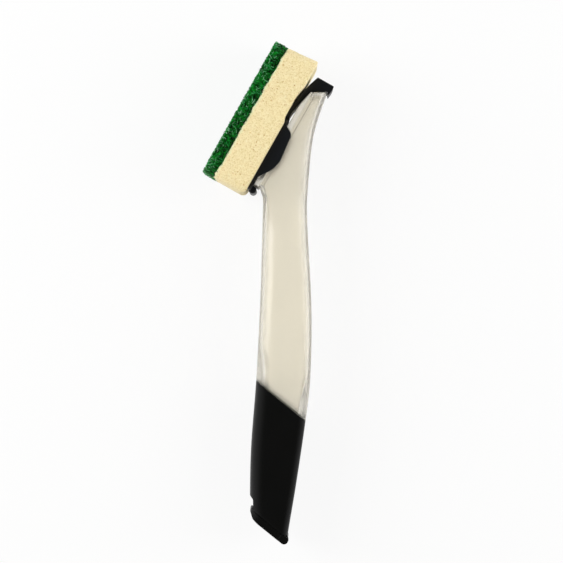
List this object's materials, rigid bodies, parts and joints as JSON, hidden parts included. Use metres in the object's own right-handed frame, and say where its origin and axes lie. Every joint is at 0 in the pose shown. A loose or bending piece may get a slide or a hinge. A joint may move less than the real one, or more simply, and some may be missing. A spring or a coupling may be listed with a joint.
{
  "type": "dish wand",
  "caption": "Fillable dish wand with a clear soap-holding handle, black grip with flip cap, and a tilted head with a clip-on sponge and scourer refill.",
  "frame": {"origin": "under the centre of the whole wand's box, on the surface that the sponge's side lies on", "axes": "+Y along the handle from the filler cap to the head, +X to the back of the wand, +Z across the wand"},
  "size_m": [0.0675, 0.2582, 0.0466],
  "materials": {
    "clear_plastic": "frosted translucent, softly glossy",
    "valve_silicone": "matte silicone",
    "ring_plastic": "semi-gloss",
    "black_grip": "satin moulded",
    "plug_plastic": "semi-gloss",
    "pin_steel": "drawn wire",
    "refill_plastic": "satin moulded",
    "cream_foam": "open-cell foam, fine pores",
    "green_scourer": "nonwoven abrasive fibre"
  },
  "bodies": {
    "handle": {"reservoir_left": "clear_plastic", "reservoir_right": "clear_plastic", "head_face_plate": "clear_plastic", "slit_valve": "valve_silicone", "valve_ring": "ring_plastic", "grip_sleeve": "black_grip", "filler_neck": "clear_plastic", "hinge_pin": "pin_steel"},
    "cap": {"flip_cap": "black_grip", "cap_plug": "plug_plastic"},
    "refill": {"refill_plate": "refill_plastic", "foam_sponge": "cream_foam", "scourer_pad": "green_scourer"},
    "latch": {"latch_beak": "refill_plastic"}
  },
  "joints": [
    {"name": "cap_flip", "type": "hinge", "parent": "handle", "child": "cap", "pos_m": [0.00808, -0.12698, 0.0233], "axis": [0, 0, 1], "range_deg": [0, 150]},
    {"name": "refill_swing", "type": "hinge", "parent": "handle", "child": "refill", "pos_m": [-0.00809, 0.05311, 0.0233], "axis": [0, 0, 1], "range_deg": [0, 60]},
    {"name": "latch_flex", "type": "hinge", "parent": "refill", "child": "latch", "pos_m": [0.01687, 0.10046, 0.0233], "axis": [0, 0, 1], "range_deg": [0, 7], "stiffness_Nm_per_rad": 1.5}
  ]
}
